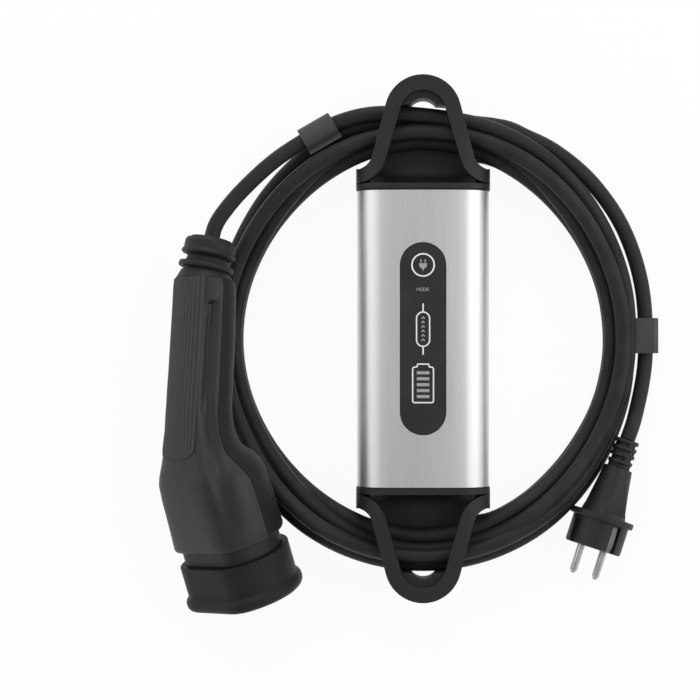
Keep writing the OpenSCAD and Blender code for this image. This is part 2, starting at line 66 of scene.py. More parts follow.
MM = 0.001
CHARGER = "charger"
CAP_BODY = "protective_cap"

# Meshes: distance at which points are welded, and angle under which faces count as flat
WELD = 2e-6
FLAT_DEG = 0.05

# Connector: its place in metres, its turn in degrees and the ribs of its grip pad
CONNECTOR_AT = (-0.1236, -0.1277, 0.0451)
CONNECTOR_TURN = (45, 11, -75)
RIB_PITCH = 0.0022
RIB_DEPTH = 0.0003
CUTS_PER_RIB = 4

# A rib's cut takes in points that are this near, and only in faces that look outwards by this much
CUT_SNAP = 2e-5
OUTER_FACING = 0.2

# Routes of the leads outside the coil, in metres. The charging lead's tail starts at the connector.
SUPPLY_EXIT = [(0.0104, 0.1148, 0.0105), (0.02, 0.1186, 0.0105), (0.03, 0.1201, 0.01),
               (0.0395, 0.1194, 0.009), (0.049, 0.1165, 0.008), (0.068, 0.108, 0.0065),
               (0.086, 0.096, 0.0056), (0.102, 0.0815, 0.0053)]
CHARGE_EXIT = [(0.0104, -0.1148, 0.0105), (0.02, -0.1186, 0.0105), (0.03, -0.1201, 0.01),
               (0.0395, -0.1194, 0.009), (0.049, -0.1165, 0.008), (0.067, -0.106, 0.0065),
               (0.083, -0.092, 0.0056), (0.097, -0.0755, 0.0053)]
SUPPLY_TAIL = [(0.051, 0.1365, 0.031), (0.066, 0.1305, 0.03), (0.083, 0.1225, 0.027),
               (0.104, 0.107, 0.021), (0.119, 0.0905, 0.015), (0.129, 0.0755, 0.011),
               (0.137, 0.0575, 0.009), (0.1425, 0.038, 0.0083), (0.145, 0.02, 0.0083),
               (0.1455, 0.002, 0.0083), (0.1453, -0.015, 0.0084), (0.1432, -0.03, 0.0096),
               (0.14, -0.044, 0.0122), (0.1366, -0.056, 0.0156), (0.1329, -0.0657, 0.0176)]
CHARGE_TAIL = [(-0.1348, 0.0639, 0.0456), (-0.1334, 0.0702, 0.0448), (-0.1307, 0.076, 0.044),
               (-0.127, 0.0814, 0.0432), (-0.12, 0.0903, 0.0418), (-0.1055, 0.1052, 0.0395),
               (-0.0915, 0.117, 0.0382), (-0.067, 0.1324, 0.0375), (-0.053, 0.1393, 0.0378),
               (-0.028, 0.1443, 0.039)]
STEPS_PER_SPAN = 8

# Places of the turns in the coil, in millimetres: distance from the box's middle and height over the
# coil's base. At the ends a third value says how sharply a turn swings out into the loop.
SIDE = {"s1": (122.8, 5.0), "s2": (134.0, 5.0), "s3": (122.8, 15.0), "s4": (134.0, 15.0),
        "s5": (129.6, 24.0)}
END = {"t1": (126.8, 5.0, 10), "t2": (135.4, 5.0, 5), "t3": (143.4, 5.0, 2.3), "t4": (132.6, 14.6, 3),
       "t6": (142.0, 13.6, 1.2), "b1": (127.0, 5.0, 10), "b2": (136.0, 5.0, 5), "b3": (144.8, 5.0, 1.2),
       "b5": (139.6, 13.6, 2.3)}
CHARGE_TURNS = ["s1", "t1", "s1", "b1", "s3", "t2", "s3", "b2", "s5", "t4", "s5", "b5", "s4", "t6"]
SUPPLY_TURNS = ["s2", "b3", "s2", "t3"]
POINTS_PER_QUARTER = 6
LEAD_IN_DEG = (24, 12)

# The coil lies on the floor and climbs over the tongues of the end caps.
COIL_BASE = 0.2
TONGUE_TOP = 26.0
CLIMB_FROM_DEG = 25
CLIMB_OVER_DEG = 45

# Signs on the panel, in millimetres, with y along the box towards the mains lead
SIGN_THICKNESS = 0.12
SIGN_LINE = 0.85
MITRE_LIMIT = 0.4
BUTTON_Y = 46.8
BUTTON_RADIUS = 7.05
BUTTON_LINE = 0.95
PLUG_Y = 46.9
PLUG_RADIUS = 2.5
PLUG_FACE_Y = 47.9
PRONG_X = 1.3
PRONG_HALF_WIDTH = 0.4
PRONG_Y = (48.4, 50.3)
PLUG_CORD_Y = (44.4, 43.1)
PLUG_CORD_LINE = 0.8
WORD = "MODE"
WORD_AT = (-3.85, 30.4)
LETTER_STEP = 2.1
LETTER_STRETCH = 0.9
LETTER_LINE = 0.30
LETTERS = {"M": [[(-0.1, 0), (-0.1, 2), (0.75, 0.6), (1.6, 2), (1.6, 0)]],
           "O": [[(0, 0), (0, 2), (1.5, 2), (1.5, 0), (0, 0)]],
           "D": [[(0, 0), (0, 2), (1.0, 2), (1.5, 1.5), (1.5, 0.5), (1.0, 0), (0, 0)]],
           "E": [[(1.3, 0), (0, 0), (0, 2), (1.3, 2)], [(0, 1), (1.1, 1)]]}
BOX_SIGN_RADIUS = 4.15
BOX_SIGN_Y = (12.8, -0.7)
BOX_LEADS_Y = ((22.3, 17.3), (-5.2, -10.1))
BOX_LEAD_LINE = 0.9
ARROWS = 6
ARROW_FROM_Y = -1.3
ARROW_STEP = 2.8
ARROW_HALF_WIDTH = 1.0
ARROW_RISE = 1.1
ARROW_LINE = 0.7
BATTERY_NECK = [(3.9, -17.8), (3.4, -16.1), (-3.4, -16.1), (-3.9, -17.8)]
BATTERY_X = 5.4
BATTERY_Y = (-19.2, -39.3)
BATTERY_CORNER = 1.2
BARS = 5
BAR_FROM_Y = -21.6
BAR_STEP = 3.76
BAR_HALF_WIDTH = 4
BAR_HALF_HEIGHT = 0.95

# Materials: where a tone starts and ends on the noise that varies it
TONE_STOPS = (0.3, 0.7)
# The wave texture multiplies its coordinate by this
WAVE_FACTOR = 20

# Stage, in metres: floor, soft lights, camera, and the sky's ramp from the horizon to overhead
FLOOR_REACH = 12.0
FLOOR_DROP = 0.0001
FLOOR_GLOW = 0.93
LIGHT_SIZE = (0.7, 1.6)
LEFT_LIGHT_AT = (-1.1, 0.15, 1.0)
LEFT_LIGHT_SHARE = 0.55
RIGHT_LIGHT_AT = (1.1, 0.15, 1.0)
TOP_LIGHT_AT = (0, 1.3, 0.9)
SENSOR_WIDTH = 36
VIEW_DEPTH = 20
SKY = ((0.25, (0.92, 0.92, 0.92, 1)), (0.95, (0.34, 0.34, 0.345, 1)))


class ChargerFinish(PropertyGroup):
    """Colours of the charger's surfaces."""

    tube: FloatVectorProperty(name="Tube", description="Anodised aluminium of the box", subtype="COLOR",
                              default=(0.70, 0.703, 0.715), min=0, max=1)
    cap: FloatVectorProperty(name="End caps", description="Soft plastic of the end caps",
                             subtype="COLOR", default=(0.013, 0.013, 0.014), min=0, max=1)
    shell: FloatVectorProperty(name="Connector", description="Moulded shells of the vehicle connector",
                               subtype="COLOR", default=(0.0140, 0.0140, 0.0150), min=0, max=1)
    jacket: FloatVectorProperty(name="Leads", description="Jacket of both leads", subtype="COLOR",
                                default=(0.0240, 0.0240, 0.0252), min=0, max=1)
    panel: FloatVectorProperty(name="Panel", description="Dark display panel", subtype="COLOR",
                               default=(0.0205, 0.0205, 0.0215), min=0, max=1)
    symbol: FloatVectorProperty(name="Symbols", description="Light of the panel's symbols",
                                subtype="COLOR", default=(0.74, 0.76, 0.78), min=0, max=1)


class ChargerLead(PropertyGroup):
    """Sizes of the leads."""

    diameter: FloatProperty(name="Diameter", description="Diameter of both leads", default=0.010,
                            min=0.004, max=0.02, unit="LENGTH")
    spacing: FloatProperty(name="Spacing", description="Distance between the points that carry a lead",
                           default=0.004, min=0.001, max=0.01, unit="LENGTH")


class ChargerStage(PropertyGroup):
    """Camera and light."""

    height: FloatProperty(name="Camera height", description="Height of the camera over the floor",
                          default=1.45, min=0.3, max=5, unit="LENGTH")
    lens: FloatProperty(name="Focal length", description="Focal length of the camera in millimetres",
                        default=113.2, min=20, max=300)
    shift_x: FloatProperty(name="Shift across", description="Sideways shift of the picture",
                           default=-0.1044, min=-1, max=1)
    shift_y: FloatProperty(name="Shift up", description="Upward shift of the picture", default=-0.0161,
                           min=-1, max=1)
    side_light: FloatProperty(name="Side lights",
                              description="Power of the right light, of which the left one has a share",
                              default=6.2, min=0, max=200, unit="POWER")
    top_light: FloatProperty(name="Top light", description="Power of the light past the upper loop",
                             default=7.0, min=0, max=200, unit="POWER")
    floor: FloatVectorProperty(name="Floor", description="Colour of the floor", subtype="COLOR",
                               default=(0.92, 0.92, 0.92), min=0, max=1)


# Materials

def tinted(colour, factor):
    """A colour made darker or lighter, as four numbers."""
    return tuple(min(1.0, c * factor) for c in colour[:3]) + (1.0,)


class Finish:
    """A material under construction: a shader and the textures that vary it."""

    def __init__(self, name):
        self.material = bpy.data.materials.new(name)
        self.material.use_nodes = True
        self.tree = self.material.node_tree
        self.shader = self.tree.nodes["Principled BSDF"]
        self.place = self.tree.nodes.new("ShaderNodeTexCoord").outputs["Object"]

    def node(self, kind, **inputs):
        """A new node with its inputs set."""
        made = self.tree.nodes.new(kind)
        for name, value in inputs.items():
            made.inputs[name.replace("_", " ")].default_value = value
        return made

    def link(self, source, target):
        """Joins an output to an input."""
        self.tree.links.new(source, target)
        return self

    def stretched(self, scale):
        """Object coordinates with their own scale on each axis."""
        mapping = self.node("ShaderNodeMapping", Scale=scale)
        self.link(self.place, mapping.inputs["Vector"])
        return mapping.outputs["Vector"]

    def noise(self, scale, detail=3.0, place=None):
        """Values of a noise, which is finer with a larger scale."""
        made = self.node("ShaderNodeTexNoise", Scale=scale, Detail=detail)
        self.link(place or self.place, made.inputs["Vector"])
        return made.outputs["Fac"]

    def tone(self, colour, spread, value):
        """Lets the colour vary round its own tone."""
        ramp = self.node("ShaderNodeValToRGB")
        for stop, place, share in zip(ramp.color_ramp.elements, TONE_STOPS, (1 - spread, 1 + spread)):
            stop.position = place
            stop.color = tinted(colour, share)
        self.link(value, ramp.inputs["Fac"])
        return self.link(ramp.outputs["Color"], self.shader.inputs["Base Color"])

    def rough(self, low, high, value):
        """Lets the roughness vary between two values."""
        spread = self.node("ShaderNodeMapRange", To_Min=low, To_Max=high)
        self.link(value, spread.inputs["Value"])
        return self.link(spread.outputs["Result"], self.shader.inputs["Roughness"])

    def bump(self, strength, distance, value):
        """Lets the surface rise and fall."""
        made = self.node("ShaderNodeBump", Strength=strength, Distance=distance)
        self.link(value, made.inputs["Height"])
        return self.link(made.outputs["Normal"], self.shader.inputs["Normal"])

    def eroded(self):
        """Gives the skin the fine grain of an eroded mould."""
        return self.bump(strength=0.5, distance=0.00006, value=self.noise(scale=1800.0, detail=2.0))

    def set(self, **sockets):
        """Sets plain values of the shader."""
        for name, value in sockets.items():
            self.shader.inputs[name.replace("_", " ")].default_value = value
        return self


def moulded(name, colour, roughness, shine=0.35):
    """Plastic or rubber with a fine eroded skin."""
    made = Finish(name)
    made.tone(colour, spread=0.12, value=made.noise(scale=60.0))
    made.rough(low=roughness - 0.06, high=roughness + 0.08, value=made.noise(scale=220.0))
    made.eroded()
    return made.set(Specular_IOR_Level=shine).material


def anodised(colour):
    """Satin aluminium with a fine grain along the tube."""
    made = Finish("anodised_tube")
    grain = made.noise(scale=1.0, detail=4.0, place=made.stretched((2600.0, 14.0, 2600.0)))
    made.tone(colour, spread=0.05, value=grain)
    made.rough(low=0.36, high=0.48, value=grain)
    made.bump(strength=0.12, distance=0.00002, value=grain)
    return made.set(Metallic=1.0).material


def plated(name, colour, low, high):
    """Bare or plated metal, with its roughness between two values."""
    made = Finish(name)
    grain = made.noise(scale=900.0, detail=4.0)
    made.tone(colour, spread=0.08, value=grain)
    made.rough(low, high, value=made.noise(scale=300.0))
    made.bump(strength=0.1, distance=0.00002, value=grain)
    return made.set(Metallic=1.0).material


def jacket(colour):
    """Smooth lead jacket with faint marks of handling."""
    made = Finish("lead_jacket")
    made.tone(colour, spread=0.25, value=made.noise(scale=45.0))
    made.rough(low=0.40, high=0.54, value=made.noise(scale=130.0, detail=4.0))
    made.bump(strength=0.25, distance=0.00005, value=made.noise(scale=700.0))
    return made.set(Specular_IOR_Level=0.15).material


def ribbed_grip(colour):
    """Soft pad whose colour is darker in the grooves between its ribs, as painted shade."""
    made = Finish("grip_painted_groove_shade")
    local = made.node("ShaderNodeMapping", Location=CONNECTOR_AT,
                      Rotation=tuple(math.radians(a) for a in CONNECTOR_TURN))
    local.vector_type = "TEXTURE"
    made.link(made.place, local.inputs["Vector"])
    groove_shade = made.node("ShaderNodeTexWave", Scale=2 * math.pi / WAVE_FACTOR / RIB_PITCH)
    groove_shade.bands_direction = "Y"
    made.link(local.outputs["Vector"], groove_shade.inputs["Vector"])
    # Painted shade: the wave darkens the colour in the grooves between the ribs, where shade falls.
    made.tone(colour, spread=0.3, value=groove_shade.outputs["Fac"])
    made.rough(low=0.5, high=0.7, value=made.noise(scale=300.0))
    made.eroded()
    return made.set(Specular_IOR_Level=0.35).material


def film(colour):
    """Smooth dark film of the panel."""
    made = Finish("panel_film")
    made.tone(colour, spread=0.2, value=made.noise(scale=40.0))
    made.rough(low=0.36, high=0.46, value=made.noise(scale=150.0))
    return made.set(Specular_IOR_Level=0.35).material


def lit(name, colour, strength):
    """Light of a symbol behind the panel."""
    made = Finish(name)
    made.tone(colour, spread=0.06, value=made.noise(scale=900.0))
    made.rough(low=0.35, high=0.5, value=made.noise(scale=400.0))
    return made.set(Emission_Color=tuple(colour[:3]) + (1.0,), Emission_Strength=strength).material


# Pieces

def new_piece(name, mesh, body, slot, material, *nodes):
    """Links a mesh as a piece that rides on a body and stands for some nodes."""
    piece = bpy.data.objects.new(name, mesh)
    bpy.context.scene.collection.objects.link(piece)
    piece.data.materials.clear()
    piece.data.materials.append(material)
    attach(piece, body)
    if nodes:
        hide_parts(*nodes)
    return piece


def slot_of(node):
    """The record's material slot of a node."""
    return next(s["material_slot"] for s in frame["record"]["subparts"] if s["node"] == node)


def clean_mesh(node, crease):
    """A welded copy of a node's mesh, smooth but for its creases."""
    bm = bmesh.new()
    bm.from_mesh(frame["nodes"][node].data)
    bmesh.ops.remove_doubles(bm, verts=bm.verts, dist=WELD)
    bmesh.ops.dissolve_limit(bm, angle_limit=math.radians(FLAT_DEG), verts=bm.verts, edges=bm.edges)
    for face in bm.faces:
        face.smooth = True
    for edge in bm.edges:
        edge.smooth = len(edge.link_faces) == 2 and edge.calc_face_angle() < crease
    mesh = bpy.data.meshes.new(node + "_skin")
    bm.to_mesh(mesh)
    bm.free()
    return mesh


def dressed(node, material, edge=0.0, crease_deg=30.0, body=CHARGER):
    """A node as a finished piece, with its edges rounded by the width given."""
    crease = math.radians(crease_deg)
    piece = new_piece(node + "_skin", clean_mesh(node, crease), body, slot_of(node), material, node)
    if edge:
        round_over = piece.modifiers.new("edges", "BEVEL")
        round_over.width = edge
        round_over.segments = 2
        round_over.limit_method = "ANGLE"
        round_over.angle_limit = crease
        round_over.harden_normals = True
    return piece


def cut_ribs(piece):
    """Cuts fine grooves along the handle into the outer face of the grip pad."""
    turn = Euler([math.radians(a) for a in CONNECTOR_TURN]).to_matrix()
    across = turn @ Vector((0, 1, 0))
    up = turn @ Vector((0, 0, 1))
    origin = Vector(CONNECTOR_AT)
    bm = bmesh.new()
    bm.from_mesh(piece.data)
    places = [(v.co - origin).dot(across) for v in bm.verts]
    step = RIB_PITCH / CUTS_PER_RIB
    for cut in range(math.ceil(min(places) / step), math.floor(max(places) / step) + 1):
        bm.normal_update()
        outer = [f for f in bm.faces if f.normal.dot(up) > OUTER_FACING]
        edges = {e for f in outer for e in f.edges}
        verts = {v for f in outer for v in f.verts}
        bmesh.ops.bisect_plane(bm, geom=[*verts, *edges, *outer], dist=CUT_SNAP,
                               plane_co=origin + across * (cut * step), plane_no=across)
    bm.normal_update()
    for vert in bm.verts:
        if vert.normal.dot(up) > OUTER_FACING:
            phase = 2 * math.pi * (vert.co - origin).dot(across) / RIB_PITCH
            vert.co -= vert.normal * RIB_DEPTH * (0.5 + 0.5 * math.cos(phase))
    bm.to_mesh(piece.data)
    bm.free()


def painted(material, *nodes):
    """Gives hidden nodes their material."""
    for node in nodes:
        slots = frame["nodes"][node].data.materials
        slots.clear()
        slots.append(material)


class Signs:
    """Flat signs on the panel, drawn in millimetres, that make one piece."""

    def __init__(self):
        self.bm = bmesh.new()
        self.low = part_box("display_panel")[1].z / MM
        self.high = self.low + SIGN_THICKNESS

    def plate(self, outline):
        """Adds a flat plate with the outline given."""
        bottom = [self.bm.verts.new((x, y, self.low)) for x, y in outline]
        top = [self.bm.verts.new((x, y, self.high)) for x, y in outline]
        self.bm.faces.new(list(reversed(bottom)))
        self.bm.faces.new(top)
        count = len(outline)
        for i in range(count):
            j = (i + 1) % count
            self.bm.faces.new((bottom[i], bottom[j], top[j], top[i]))

    def bar(self, left, foot, right, top):
        """Adds a plate with square corners."""
        self.plate([(left, foot), (right, foot), (right, top), (left, top)])

    def line(self, points, width, closed=False):
        """Adds a line of even width along the points given."""
        count = len(points)
        rings = []
        for i, point in enumerate(points):
            before = points[i - 1] if closed or i > 0 else point
            after = points[(i + 1) % count] if closed or i < count - 1 else point
            a = Vector(point) - Vector(before)
            b = Vector(after) - Vector(point)
            a = (a if a.length > 0 else b).normalized()
            b = (b if b.length > 0 else a).normalized()
            across = (Vector((-a.y, a.x)) + Vector((-b.y, b.x))).normalized()
            reach = width / 2 / max(MITRE_LIMIT, across.dot(Vector((-a.y, a.x))))
            left = Vector(point) + across * reach
            right = Vector(point) - across * reach
            corners = ((left, self.low), (right, self.low), (right, self.high), (left, self.high))
            rings.append([self.bm.verts.new((p.x, p.y, z)) for p, z in corners])
        for i in range(count if closed else count - 1):
            here, there = rings[i], rings[(i + 1) % count]
            for k in range(4):
                self.bm.faces.new((here[k], here[(k + 1) % 4], there[(k + 1) % 4], there[k]))
        if not closed:
            self.bm.faces.new(list(reversed(rings[0])))
            self.bm.faces.new(rings[-1])

    def piece(self, name, material):
        """Makes the signs a piece, in metres."""
        bmesh.ops.scale(self.bm, vec=(MM, MM, MM), verts=self.bm.verts)
        bmesh.ops.recalc_face_normals(self.bm, faces=self.bm.faces)
        mesh = bpy.data.meshes.new(name)
        self.bm.to_mesh(mesh)
        self.bm.free()
        new_piece(name, mesh, CHARGER, "light_chip", material)


def arc(x, y, radius, start_deg, end_deg, steps=16):
    """Points of an arc round a middle point."""
    angles = [math.radians(start_deg + (end_deg - start_deg) * i / steps) for i in range(steps + 1)]
    return [(x + radius * math.cos(a), y + radius * math.sin(a)) for a in angles]


def smooth_step(t):
    """Rises from 0 to 1 with a soft start and end."""
    t = max(0.0, min(1.0, t))
    return t * t * (3 - 2 * t)


def through(points, spacing):
    """Even points on a smooth curve through the points given."""
    known = [Vector(p) for p in points]
    dense = []
    for i in range(len(known) - 1):
        p0 = known[i - 1] if i > 0 else known[i] * 2 - known[i + 1]
        p1, p2 = known[i], known[i + 1]
        p3 = known[i + 2] if i + 2 < len(known) else known[i + 1] * 2 - known[i]
        k0 = 0.0
        k1 = (p1 - p0).length ** 0.5
        k2 = k1 + (p2 - p1).length ** 0.5
        k3 = k2 + (p3 - p2).length ** 0.5
        for step in range(STEPS_PER_SPAN):
            t = k1 + (k2 - k1) * step / STEPS_PER_SPAN
            a1 = p0 * ((k1 - t) / (k1 - k0)) + p1 * ((t - k0) / (k1 - k0))
            a2 = p1 * ((k2 - t) / (k2 - k1)) + p2 * ((t - k1) / (k2 - k1))
            a3 = p2 * ((k3 - t) / (k3 - k2)) + p3 * ((t - k2) / (k3 - k2))
            b1 = a1 * ((k2 - t) / (k2 - k0)) + a2 * ((t - k0) / (k2 - k0))
            b2 = a2 * ((k3 - t) / (k3 - k1)) + a3 * ((t - k1) / (k3 - k1))
            dense.append(b1 * ((k2 - t) / (k2 - k1)) + b2 * ((t - k1) / (k2 - k1)))
    dense.append(known[-1])
    even, left = [dense[0]], spacing
    for a, b in zip(dense, dense[1:]):
        length = (b - a).length
        done = 0.0
        while length - done >= left:
            done += left
            left = spacing
            even.append(a.lerp(b, done / length))
        left -= length - done
    even.append(dense[-1])
    return even


def coil_points(turns, way):
    """Points of a lead's turns from the right side on, a quarter turn from each place to the next."""
    radius, rise = SIDE[turns[0]]
    points = []
    for early in LEAD_IN_DEG:
        turn = math.radians(-early) * way
        z = COIL_BASE + rise
        points.append((radius * math.cos(turn) * MM, radius * math.sin(turn) * MM, z * MM))
    for quarter in range(len(turns) - 1):
        here, there = turns[quarter], turns[quarter + 1]
        side, end = (SIDE[here], END[there]) if here in SIDE else (SIDE[there], END[here])
        for step in range(POINTS_PER_QUARTER):
            turn = math.radians(90 * (quarter + step / POINTS_PER_QUARTER)) * way
            share = math.sin(turn) ** 2
            radius = side[0] + (end[0] - side[0]) * abs(math.sin(turn)) ** end[2]
            lift = math.degrees(math.asin(min(1.0, abs(math.sin(turn)))))
            base = COIL_BASE + TONGUE_TOP * smooth_step((lift - CLIMB_FROM_DEG) / CLIMB_OVER_DEG)
            z = base + side[1] + (end[1] - side[1]) * share ** 3
            points.append((radius * math.cos(turn) * MM, radius * math.sin(turn) * MM, z * MM))
    return points


def lead_piece(name, points, diameter, material, *nodes):
    """A lead as a round curve along its points."""
    curve = bpy.data.curves.new(name, "CURVE")
    curve.dimensions = "3D"
    curve.bevel_depth = diameter / 2
    curve.bevel_resolution = 4
    curve.use_fill_caps = True
    spline = curve.splines.new("POLY")
    spline.points.add(len(points) - 1)
    for target, point in zip(spline.points, points):
        target.co = (*point, 1.0)
    spline.use_smooth = True
    return new_piece(name, curve, CHARGER, "lead_jacket", material, *nodes)


def settings():
    """The colours that the user has set."""
    return bpy.context.scene.charger_finish


class CHARGER_OT_box(Operator):
    """Finish the tube, the end caps, their seals and screws."""

    bl_idname = "charger.box"
    bl_label = "Box"

    def execute(self, context):
        colours = settings()
        dressed("housing_tube", anodised(colours.tube), edge=0.0005, crease_deg=20.0)
        caps = moulded("cap_plastic", colours.cap, roughness=0.52)
        for node in ("top_cap", "bottom_cap"):
            dressed(node, caps, edge=0.0006, crease_deg=24.0)
        rubber = moulded("seal_rubber", (0.012, 0.012, 0.012), roughness=0.6)
        for node in ("top_seal", "bottom_seal"):
            dressed(node, rubber)
        for node in ("supply_gland", "charge_gland"):
            dressed(node, rubber, edge=0.0003)
        steel = plated("screw_steel", (0.5, 0.5, 0.5), low=0.25, high=0.4)
        dressed("cap_screws", steel, edge=0.0002)
        return {"FINISHED"}


class CHARGER_OT_panel(Operator):
    """Finish the display panel and light its symbols."""

    bl_idname = "charger.panel"
    bl_label = "Panel"

    def execute(self, context):
        colours = settings()
        dressed("display_panel", film(colours.panel), edge=0.0004)
        self.outlines().piece("panel_symbols", lit("symbol_print", colours.symbol, strength=0.08))
        dimmed = tinted(colours.symbol, 0.42)
        self.fillings().piece("panel_lights", lit("symbol_light", dimmed, strength=0.07))
        return {"FINISHED"}

    def outlines(self):
        """Ring of the button, box between its two leads, and battery with its neck."""
        signs = Signs()
        signs.line(arc(0, BUTTON_Y, BUTTON_RADIUS, 0, 360, 48)[:-1], BUTTON_LINE, closed=True)
        upper, lower = BOX_SIGN_Y
        box = arc(0, upper, BOX_SIGN_RADIUS, 0, 180) + arc(0, lower, BOX_SIGN_RADIUS, 180, 360)
        signs.line(box, SIGN_LINE, closed=True)
        for start, end in BOX_LEADS_Y:
            signs.line([(0, start), (0, end)], BOX_LEAD_LINE)
        top, foot = BATTERY_Y
        battery = list(BATTERY_NECK)
        for x, y, start in ((-BATTERY_X, top, 90), (-BATTERY_X, foot, 180), (BATTERY_X, foot, 270),
                            (BATTERY_X, top, 0)):
            battery += arc(x, y, BATTERY_CORNER, start, start + 90, 6)
        signs.line(battery, SIGN_LINE, closed=True)
        return signs

    def fillings(self):
        """Plug in the ring, name of the button, flow of current in the box, and charge in the battery."""
        signs = Signs()
        face = [(PLUG_RADIUS, PLUG_FACE_Y), (-PLUG_RADIUS, PLUG_FACE_Y)]
        signs.plate(arc(0, PLUG_Y, PLUG_RADIUS, 180, 360, 14) + face)
        foot, tip = PRONG_Y
        for x in (-PRONG_X, PRONG_X):
            signs.bar(x - PRONG_HALF_WIDTH, foot, x + PRONG_HALF_WIDTH, tip)
        signs.line([(0, y) for y in PLUG_CORD_Y], PLUG_CORD_LINE)
        word_x, word_y = WORD_AT
        for i, letter in enumerate(WORD):
            for line in LETTERS[letter]:
                placed = [(x + word_x + LETTER_STEP * i, LETTER_STRETCH * y + word_y) for x, y in line]
                signs.line(placed, LETTER_LINE)
        for i in range(ARROWS):
            y = ARROW_FROM_Y + ARROW_STEP * i
            signs.line([(-ARROW_HALF_WIDTH, y), (0, y + ARROW_RISE), (ARROW_HALF_WIDTH, y)], ARROW_LINE)
        for i in range(BARS):
            y = BAR_FROM_Y - BAR_STEP * i
            signs.bar(-BAR_HALF_WIDTH, y - BAR_HALF_HEIGHT, BAR_HALF_WIDTH, y + BAR_HALF_HEIGHT)
        return signs


class CHARGER_OT_inside(Operator):
    """Give the pieces inside the box their materials."""

    bl_idname = "charger.inside"
    bl_label = "Inside"

    def execute(self, context):
        plastics = (("mask_black", (0.02, 0.02, 0.02), 0.6, ("light_mask", "leakage_sensor")),
                    ("board_green", (0.01, 0.12, 0.04), 0.35, ("display_board", "main_board")),
                    ("relay_blue", (0.04, 0.1, 0.35), 0.4, ("power_relays",)),
                    ("module_yellow", (0.5, 0.36, 0.04), 0.45, ("supply_module",)),
                    ("capacitor_navy", (0.02, 0.03, 0.1), 0.3, ("filter_capacitors",)),
                    ("terminal_green", (0.05, 0.28, 0.08), 0.5, ("mains_terminal", "vehicle_terminal")),
                    ("wire_brown", (0.2, 0.08, 0.03), 0.45, ("mains_wires", "vehicle_wires")))
        for name, colour, roughness, nodes in plastics:
            painted(moulded(name, colour, roughness), *nodes)
        painted(lit("chip_resin", (0.9, 0.9, 0.8), strength=0.2), "indicator_leds")
        painted(plated("post_steel", (0.5, 0.5, 0.5), low=0.3, high=0.45), "display_posts")
        return {"FINISHED"}


class CHARGER_OT_connector(Operator):
    """Finish the vehicle connector, its protective cap and tether."""

    bl_idname = "charger.connector"
    bl_label = "Connector"

    def execute(self, context):
        colours = settings()
        upper = moulded("shell_plastic", colours.shell, roughness=0.46, shine=0.42)
        dressed("connector_shell", upper, edge=0.0005, crease_deg=40.0)
        lower = moulded("lower_plastic", tinted(colours.shell, 0.7), roughness=0.55, shine=0.2)
        dressed("connector_underside", lower, edge=0.0005, crease_deg=40.0)
        pad = ribbed_grip((0.032, 0.032, 0.034))
        cut_ribs(dressed("grip_pad", pad, edge=0.0002, crease_deg=40.0))
        rubber = moulded("boot_rubber", (0.010, 0.010, 0.011), roughness=0.55)
        dressed("connector_boot", rubber, edge=0.0005)
        carrier = moulded("carrier_plastic", (0.012, 0.012, 0.013), roughness=0.5)
        dressed("contact_carrier", carrier, edge=0.0004)
        contacts = plated("contact_silver", (0.75, 0.73, 0.68), low=0.2, high=0.35)
        for node in ("power_contacts", "signal_contacts"):
            dressed(node, contacts, edge=0.0002)
        cover = moulded("cap_rubber", tinted(colours.shell, 0.85), roughness=0.52, shine=0.2)
        dressed("connector_cap", cover, edge=0.0005, body=CAP_BODY)
        self.tether(rubber)
        return {"FINISHED"}

    def tether(self, material):
        """The strap between the shell and the cap, finished with the material given."""
        piece = bpy.data.objects.new("cap_tether_skin", clean_mesh("cap_tether", math.radians(50)))
        bpy.context.scene.collection.objects.link(piece)
        piece.data.materials.append(material)
        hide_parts("cap_tether")
        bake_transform(piece)


class CHARGER_OT_plug(Operator):
    """Finish the mains plug."""

    bl_idname = "charger.plug"
    bl_label = "Plug"

    def execute(self, context):
        body = moulded("plug_plastic", (0.013, 0.013, 0.014), roughness=0.48)
        dressed("plug_body", body, edge=0.0005)
        bright = plated("pin_nickel", (0.50, 0.50, 0.49), low=0.30, high=0.42)
        dressed("plug_pins", bright, edge=0.0002)
        # Painted shade: the earth strips get a darker nickel than the pins, standing for the shadow in
        # their slots.
        strip_slot_shade = plated("strip_nickel_painted_shade", (0.20, 0.20, 0.20), low=0.42, high=0.56)
        dressed("plug_earth_strips", strip_slot_shade, edge=0.0002)
        return {"FINISHED"}


class CHARGER_OT_clips(Operator):
    """Finish the two clips that hold the leads' ends."""

    bl_idname = "charger.clips"
    bl_label = "Clips"

    def execute(self, context):
        plastic = moulded("clip_plastic", (0.048, 0.048, 0.050), roughness=0.5)
        for node in ("connector_clip", "plug_clip"):
            dressed(node, plastic, edge=0.0006)
        return {"FINISHED"}


class CHARGER_OT_leads(Operator):
    """Wind both leads round the box and lay their ends."""

    bl_idname = "charger.leads"
    bl_label = "Leads"

    def execute(self, context):
        sizes = context.scene.charger_lead
        black = jacket(settings().jacket)
        charge = CHARGE_EXIT + coil_points(CHARGE_TURNS, 1) + list(reversed(CHARGE_TAIL))
        supply = SUPPLY_EXIT + coil_points(SUPPLY_TURNS, -1) + SUPPLY_TAIL
        charge = through(charge, sizes.spacing)
        supply = through(supply, sizes.spacing)
        charge_lead = lead_piece("charge_lead", charge, sizes.diameter, black,
                                 "cable_coil", "charge_exit", "charge_tail")
        supply_lead = lead_piece("supply_lead", supply, sizes.diameter, black,
                                 "supply_exit", "supply_tail")
        return {"FINISHED"}


